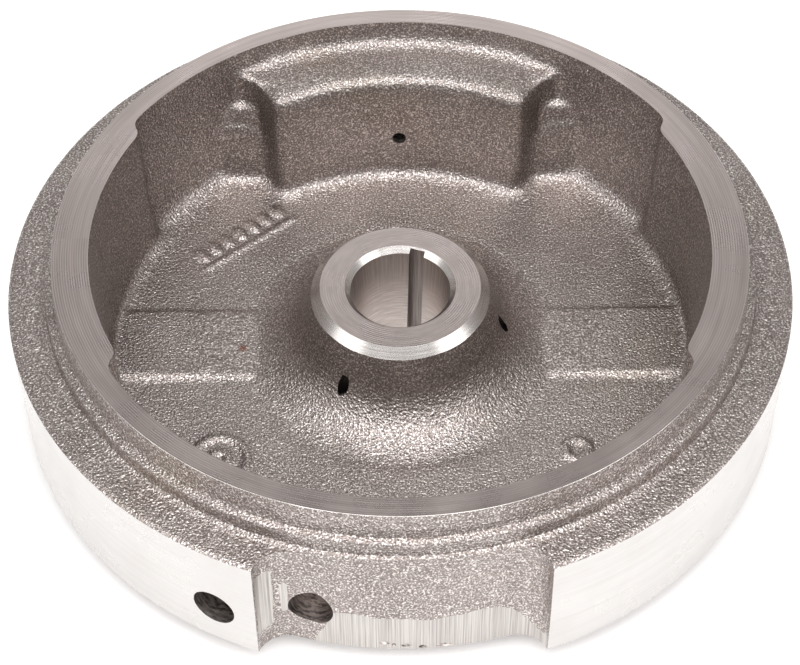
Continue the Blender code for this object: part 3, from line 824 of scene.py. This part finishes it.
def machine_hub(body, face, chamfer, bore, keyway):
    reach = 4.0 * MM
    top = [(0.0, HUB_FACE), (HUB_RADIUS, HUB_FACE), (HUB_RADIUS + reach, HUB_FACE - reach),
           (HUB_RADIUS + reach, HUB_FACE + CLEAR), (0.0, HUB_FACE + CLEAR)]
    cut(body, lathe("hub_top", top, 256, (face, chamfer), (0, 1, 1, 0, 0)))
    low = [(0.0, -CLEAR), (FAN_HUB_RADIUS + 8 * MM, -CLEAR), (FAN_HUB_RADIUS + 8 * MM, 0.0), (0.0, 0.0)]
    cut(body, lathe("hub_low", low, 256, (face,), (0, 0, 0, 0)))
    taper = [(0.0, -CLEAR), (BORE_LOW_RADIUS + BORE_LOW_CHAMFER + CLEAR, -CLEAR),
             (BORE_LOW_RADIUS, BORE_LOW_CHAMFER), (BORE_TOP_RADIUS, HUB_FACE - BORE_CHAMFER),
             (BORE_TOP_RADIUS + BORE_CHAMFER + CLEAR, HUB_FACE + CLEAR), (0.0, HUB_FACE + CLEAR)]
    cut(body, lathe("bore", taper, 256, (bore, chamfer), (0, 1, 0, 1, 0, 0)))
    slot = box("keyway", (5 * MM, -KEYWAY_WIDTH / 2, -CLEAR),
               (KEYWAY_REACH, KEYWAY_WIDTH / 2, HUB_FACE + CLEAR), keyway)
    slot.data.transform(Matrix.Rotation(math.radians(KEYWAY_ANGLE), 4, "Z"))
    cut(body, slot)


def drill_holes(body, drilled, unlit):
    for angle in BALANCE_ANGLES:
        hole = [(0.0, BALANCE_BOTTOM - BALANCE_CONE), (BALANCE_RADIUS, BALANCE_BOTTOM),
                (BALANCE_RADIUS, RIM_RADIUS + CLEAR), (0.0, RIM_RADIUS + CLEAR)]
        drill = lathe("drill", hole, 96, (drilled,))
        cut(body, aim(drill, (0.0, 0.0, BALANCE_HEIGHT), (*polar(1.0, angle), 0.0)))
    for angle in FAN_HOLE_ANGLES:
        hole = [(0.0, -CLEAR), (FAN_HOLE_RADIUS + 0.4 * MM, -CLEAR), (FAN_HOLE_RADIUS + 0.4 * MM, 0.0),
                (FAN_HOLE_RADIUS, 0.4 * MM)]
        for i in range(int((FAN_HOLE_DEPTH - MM) / THREAD_PITCH)):
            z = 0.4 * MM + i * THREAD_PITCH
            hole += [(FAN_HOLE_RADIUS - THREAD_DEPTH, z + THREAD_PITCH / 2),
                     (FAN_HOLE_RADIUS, z + THREAD_PITCH)]
        hole += [(FAN_HOLE_RADIUS - THREAD_DEPTH, FAN_HOLE_DEPTH), (FAN_TIP_RADIUS, FAN_HOLE_DEPTH + MM),
                 (FAN_TIP_RADIUS, FAN_TIP_TOP - 0.6 * MM), (0.0, FAN_TIP_TOP)]
        # The narrow tip of the hole takes the second finish, the painted shade of its unlit depth.
        slots = [0] * (len(hole) - 3) + [1, 1, 1]
        drill = lathe("tap", hole, 48, (drilled, unlit), slots)
        drill.data.transform(Matrix.Translation((*polar(FAN_HOLE_CIRCLE, angle), 0.0)))
        cut(body, drill)


def grind_notch(body, ground, pitted):
    """A light grind that cleans up the foot of the notch, as far as it reaches."""
    band = loft("grind", notch_ground, outside, notch_angles()[2:-2], [-CLEAR, 34 * MM])
    band.data.materials.append(ground)
    cut(body, band)
    for x, z, length in ((-4.4, 6.9, 1.3), (-2.2, 6.2, 0.5), (0.7, 6.0, 1.2), (4.7, 5.2, 1.0), (9.9, 5.4, 2.2)):
        dent = lathe("dent", [(0.0, -0.5), (0.4, -0.3), (0.5, 0.0), (0.4, 0.3), (0.0, 0.5)], 16, (pitted,))
        dent.data.transform(Matrix.Diagonal((length * 2.0 * MM, 1.4 * MM, 1.4 * MM, 1.0)))
        dent.data.transform(Matrix.Translation((x * MM, -math.sqrt(GROUND_RADIUS ** 2 - (x * MM) ** 2), z * MM)))
        cut(body, dent)


def screw_places():
    places = [("magnet_retaining_screw", 0.0, MAGNET_HEIGHT)]
    corners = [(sx, sz) for sx in (-1, 1) for sz in (1, -1)]
    for index, (sx, sz) in enumerate(corners, start=1):
        places.append((f"pole_shoe_screw_{index}", sx * 19.5 * MM, MAGNET_HEIGHT + sz * 6.5 * MM))
    return places


def mill_pocket(body, milled, drilled):
    pocket = box("pocket", (-POCKET_HALF_WIDTH, POCKET_FLOOR, MAGNET_HEIGHT - POCKET_HALF_HEIGHT),
                 (POCKET_HALF_WIDTH, RIM_RADIUS + CLEAR, MAGNET_HEIGHT + POCKET_HALF_HEIGHT), milled)
    cut(body, pocket)
    for name, x, z in screw_places():
        end = 73.0 * MM
        radius = SCREW_RADIUS + GAP
        hole = [(0.0, end), (radius, end), (radius, POCKET_FLOOR + MM), (0.0, POCKET_FLOOR + MM)]
        if name == "magnet_retaining_screw":
            inner = BOSS_FLOOR_RADIUS - CLEAR
            hole[:1] = [(0.0, inner), (1.9 * MM, inner), (1.9 * MM, end)]
        cut(body, aim(lathe("hole", hole, 48, (drilled,)), (x, 0.0, z), (0.0, 1.0, 0.0)))


def make_body():
    cast = cast_iron()
    face = turned_face()
    chamfer = bright_chamfer()
    drilled = drilled_iron()
    body = make_blank(cast)
    turn_rim(body, turned_outside(), face, chamfer)
    # near-black painted shade for the unlit tips of the fan holes
    hole_shade = painted_shade_hole()
    grind_notch(body, ground_band(), drilled)
    machine_hub(body, face, chamfer, reamed_bore(), broached_keyway())
    drill_holes(body, drilled, hole_shade)
    mill_pocket(body, milled_pocket(), drilled)
    shade(body, (face.name,))
    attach(body, "root")
    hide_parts("flywheel_casting")
    return body


# ---- the magnet set ---------------------------------------------------------------------

def plated(name, dark, bright, roughness, scale=(400.0, 400.0, 4000.0), depth=0.00002):
    """A metal with fine lines along one direction and a cloudy tone."""
    s = Shader(name, bright, roughness, 1.0)
    line = s.noise(s.stretched(scale), 1.0, 3.0, 0.6)
    cloud = s.noise(s.place(), 130.0, 3.0, 0.6)
    s.color(s.blend(s.ramp(cloud, [(0.35, 0.0), (0.75, 0.6)]), s.ramp(line, [(0.3, dark), (0.7, bright)]),
                    (*dark, 1.0)))
    s.roughness(s.ramp(cloud, [(0.3, roughness), (0.7, roughness + 0.12)]))
    s.normal(s.bump(line, depth, 0.8))
    return s.material


def sintered(name):
    """Magnet alloy: a matt dark grey with pale specks."""
    s = Shader(name, (0.22, 0.22, 0.23), 0.5, 1.0)
    speck = s.noise(s.place(), 1600.0, 3.0, 0.7)
    s.color(s.ramp(speck, [(0.35, (0.14, 0.14, 0.145)), (0.62, (0.25, 0.25, 0.26)),
                           (0.75, (0.5, 0.5, 0.5))]))
    s.normal(s.bump(speck, 0.00008, 0.8))
    return s.material


def stand_in(obj, node):
    """Let a detailed piece take a CAD node's place."""
    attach(obj, "root")
    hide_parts(node)


def rounded(obj, width, segments=2):
    bevel = obj.modifiers.new("edges", "BEVEL")
    bevel.width = width
    bevel.segments = segments
    bevel.limit_method = "ANGLE"
    bevel.angle_limit = math.radians(40.0)
    bevel.use_clamp_overlap = True
    bake(obj)
    shade(obj, (), 35.0)
    return obj


def head_face(x):
    """Outer face of a screw's head, just inside the outer surface of the set."""
    reach = abs(x) + SCREW_HEAD_RADIUS
    return math.sqrt(SET_RADIUS ** 2 - reach ** 2) - HEAD_INSET


def screw_hole(x, z, with_head):
    radius = SCREW_RADIUS + GAP
    low = POCKET_FLOOR - CLEAR
    high = RIM_RADIUS + CLEAR
    hole = [(0.0, low), (radius, low), (radius, high), (0.0, high)]
    if with_head:
        wide = SCREW_HEAD_RADIUS + GAP
        face = head_face(x)
        hole[2:] = [(radius, face - SCREW_HEAD_DEPTH - GAP), (wide, face - GAP), (wide, high), (0.0, high)]
    return aim(lathe("hole", hole, 48), (x, 0.0, z), (0.0, 1.0, 0.0))


def set_block(name, low_x, high_x, low_y, thickness, surface, slices=1):
    """A block of the set: flat where thickness is given, and otherwise round like the rim."""
    half = POCKET_HALF_HEIGHT - GAP
    high_y = low_y + thickness if thickness else SET_RADIUS
    groove = SLICE_GROOVE if slices > 1 else 0.0
    levels = []
    for z in spread(MAGNET_HEIGHT - half, MAGNET_HEIGHT + half, slices + 1):
        if levels:
            levels += [(z - 2 * groove, 0.0), (z - groove, groove)]
        levels.append((z, groove if 0.0 < abs(z - MAGNET_HEIGHT) < half - MM else 0.0))
    if slices == 1:
        levels = [levels[0], levels[-1]]
    shape = bmesh.new()
    rings = []
    for z, inset in levels:
        front = [(x, (high_y if thickness else math.sqrt(SET_RADIUS ** 2 - x * x)) - inset)
                 for x in spread(low_x + inset, high_x - inset, 25)]
        outline = [(low_x + inset, low_y + inset), *front, (high_x - inset, low_y + inset)]
        rings.append([shape.verts.new((x, y, z)) for x, y in outline])
    for low, high in zip(rings, rings[1:]):
        for i in range(len(low)):
            j = (i + 1) % len(low)
            shape.faces.new((low[i], low[j], high[j], high[i]))
    shape.faces.new(rings[0])
    shape.faces.new(rings[-1])
    bmesh.ops.recalc_face_normals(shape, faces=shape.faces)
    mesh = bpy.data.meshes.new(name)
    shape.to_mesh(mesh)
    shape.free()
    mesh.materials.append(surface)
    block = new_object(name, mesh)
    for _, x, z in screw_places():
        if low_x < x < high_x:
            cut(block, screw_hole(x, z, not thickness))
    return block


def make_shoes():
    """The two pole shoes, each a stack of thin steel sheets."""
    steel = plated("pole_sheet_steel", (0.36, 0.34, 0.32), (0.60, 0.58, 0.56), 0.28)
    low_y = POCKET_FLOOR + PLATE_THICKNESS + 2 * GAP
    near = MAGNET_HALF_WIDTH + GAP
    far = POCKET_HALF_WIDTH - GAP
    for node, low_x, high_x in (("pole_shoe_leading", near, far), ("pole_shoe_trailing", -far, -near)):
        shoe = set_block(node + "_stack", low_x, high_x, low_y, 0.0, steel, SHEETS)
        shade(shoe, (), 30.0)
        stand_in(shoe, node)


def make_magnet_blocks():
    low_y = POCKET_FLOOR + GAP
    wide = POCKET_HALF_WIDTH - GAP
    brass = plated("brass_sheet_rolled", (0.55, 0.40, 0.17), (0.76, 0.60, 0.30), 0.28, (4000.0, 300.0, 300.0))
    alloy = plated("spacer_alloy", (0.58, 0.58, 0.59), (0.80, 0.80, 0.81), 0.30, (3000.0, 400.0, 300.0))
    plate = set_block("backing_sheet", -wide, wide, low_y, PLATE_THICKNESS, brass)
    stand_in(rounded(plate, 0.15 * MM), "magnet_backing_plate")
    low_y += PLATE_THICKNESS + GAP
    magnet = set_block("magnet_block", -MAGNET_HALF_WIDTH, MAGNET_HALF_WIDTH, low_y,
                       MAGNET_THICKNESS, sintered("magnet_sintered"))
    stand_in(rounded(magnet, 0.5 * MM), "ignition_magnet")
    low_y += MAGNET_THICKNESS + GAP
    spacer = set_block("spacer_block", -MAGNET_HALF_WIDTH, MAGNET_HALF_WIDTH, low_y, 0.0, alloy)
    stand_in(rounded(spacer, 0.3 * MM), "magnet_spacer")


def screw_shape(face):
    """Half section of a countersunk screw: its tip, its thread, its cone and its flat head."""
    shape = [(0.0, SCREW_TIP), (SCREW_RADIUS - SCREW_THREAD_DEPTH - 0.2 * MM, SCREW_TIP)]
    end = face - SCREW_HEAD_DEPTH - MM
    turns = int((end - SCREW_TIP) / SCREW_PITCH)
    for i in range(turns):
        y = SCREW_TIP + 0.3 * MM + i * SCREW_PITCH
        shape += [(SCREW_RADIUS - SCREW_THREAD_DEPTH, y), (SCREW_RADIUS, y + SCREW_PITCH / 2)]
    shape += [(SCREW_RADIUS - SCREW_THREAD_DEPTH, end), (SCREW_RADIUS - SCREW_THREAD_DEPTH, end + MM / 2),
              (SCREW_RADIUS, face - SCREW_HEAD_DEPTH), (SCREW_HEAD_RADIUS, face - 0.3 * MM),
              (SCREW_HEAD_RADIUS - 0.1 * MM, face - 0.1 * MM), (SCREW_HEAD_RADIUS - 0.3 * MM, face),
              (0.0, face)]
    return shape


def make_screws():
    """Countersunk socket screws, blackened, with a patchy worn tone."""
    s = Shader("screw_oxide", (0.08, 0.08, 0.09), 0.4, 1.0)
    worn = s.noise(s.place(), 700.0, 3.0, 0.6)
    s.color(s.ramp(worn, [(0.4, (0.05, 0.05, 0.055)), (0.7, (0.15, 0.15, 0.155))]))
    s.roughness(s.ramp(worn, [(0.3, 0.32), (0.7, 0.50)]))
    s.normal(s.bump(worn, 0.00003, 0.6))
    for node, x, z in screw_places():
        face = head_face(x)
        screw = lathe(node + "_turned", screw_shape(face), 64, (s.material,))
        aim(screw, (x, 0.0, z), (0.0, 1.0, 0.0))
        inner = face - SCREW_SOCKET_DEPTH
        rim = face - 0.25 * MM
        socket = [(0.0, inner - 0.6 * MM), (SCREW_SOCKET_RADIUS, inner), (SCREW_SOCKET_RADIUS, rim),
                  (SCREW_SOCKET_RADIUS + 0.3 * MM, face + 0.05 * MM),
                  (SCREW_SOCKET_RADIUS + 0.3 * MM, face + MM), (0.0, face + MM)]
        cut(screw, aim(lathe("socket", socket, 6, (s.material,)), (x, 0.0, z), (0.0, 1.0, 0.0)))
        shade(screw, (), 30.0)
        stand_in(screw, node)


make_body()
make_shoes()
make_magnet_blocks()
make_screws()


# ---- the stage --------------------------------------------------------------------------

def make_floor():
    shape = bmesh.new()
    bmesh.ops.create_grid(shape, x_segments=1, y_segments=1, size=3.0)
    mesh = bpy.data.meshes.new("floor")
    shape.to_mesh(mesh)
    shape.free()
    s = Shader("floor_white", (0.93, 0.93, 0.93), 0.9, 0.0)
    s.surface.inputs["Emission Color"].default_value = (1.0, 1.0, 1.0, 1.0)
    s.surface.inputs["Emission Strength"].default_value = 0.22
    mesh.materials.append(s.material)
    floor = new_object("floor", mesh)
    floor.location.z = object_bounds()[0][2] - 0.1 * MM


def softbox(name, direction, distance, size, radiance, aim_at=Vector((0.0, 0.0, 20 * MM))):
    """A square area light that shines on the object from a direction."""
    light = bpy.data.lights.new(name, "AREA")
    light.shape = "SQUARE"
    light.size = size
    light.energy = radiance * math.pi * size * size
    obj = bpy.data.objects.new(name, light)
    direction = Vector(direction).normalized()
    obj.location = aim_at + direction * distance
    obj.rotation_euler = direction.to_track_quat("Z", "Y").to_euler()
    bpy.context.scene.collection.objects.link(obj)


def make_world():
    """A plain studio: white for the camera, and softly graded for light and reflections."""
    world = bpy.data.worlds.new("studio")
    bpy.context.scene.world = world
    world.use_nodes = True
    tree = world.node_tree
    nodes = tree.nodes
    background = nodes["Background"]
    place = nodes.new("ShaderNodeTexCoord")
    split = nodes.new("ShaderNodeSeparateXYZ")
    tree.links.new(place.outputs["Generated"], split.inputs[0])
    ramp = nodes.new("ShaderNodeValToRGB")
    stops = [(0.0, 0.74), (0.25, 0.60), (0.55, 0.40), (0.80, 0.30), (1.0, 0.42)]
    elements = ramp.color_ramp.elements
    while len(elements) < len(stops):
        elements.new(0.5)
    for element, (position, grey) in zip(elements, stops):
        element.position = position
        element.color = (grey, grey * 0.975, grey * 0.955, 1.0)
    tree.links.new(split.outputs["Z"], ramp.inputs[0])
    tree.links.new(ramp.outputs[0], background.inputs["Color"])
    seen = nodes.new("ShaderNodeBackground")
    seen.inputs["Color"].default_value = (1.0, 1.0, 1.0, 1.0)
    path = nodes.new("ShaderNodeLightPath")
    mix = nodes.new("ShaderNodeMixShader")
    tree.links.new(path.outputs["Is Camera Ray"], mix.inputs[0])
    tree.links.new(background.outputs[0], mix.inputs[1])
    tree.links.new(seen.outputs[0], mix.inputs[2])
    tree.links.new(mix.outputs[0], nodes["World Output"].inputs["Surface"])


def make_camera():
    target = Vector((-0.17, 0.0, 13.64)) * MM
    distance = 568.76 * MM
    elevation = 0.849
    roll = -0.0078
    back = Vector((0.0, -math.cos(elevation), math.sin(elevation)))
    right = Vector((1.0, 0.0, 0.0))
    up = back.cross(right)
    side = math.cos(roll) * right + math.sin(roll) * up
    top = math.cos(roll) * up - math.sin(roll) * right
    data = bpy.data.cameras.new("camera")
    data.sensor_width = 36.0
    data.lens = 96.435
    data.clip_start = 0.01
    camera = bpy.data.objects.new("camera", data)
    basis = Matrix((side, top, back)).transposed().to_4x4()
    camera.matrix_world = Matrix.Translation(target + back * distance) @ basis
    bpy.context.scene.collection.objects.link(camera)
    bpy.context.scene.camera = camera


make_floor()
make_world()
softbox("overhead", (0.0, -0.30, 1.0), 0.95, 0.95, 2.75)
softbox("left", (-0.76, -0.36, 0.54), 1.0, 0.55, 1.9)
softbox("right", (0.76, -0.36, 0.54), 1.0, 0.55, 2.2)
softbox("back", (0.0, 0.82, 0.57), 1.0, 0.50, 0.82)
make_camera()
bpy.context.scene.view_settings.view_transform = "Standard"
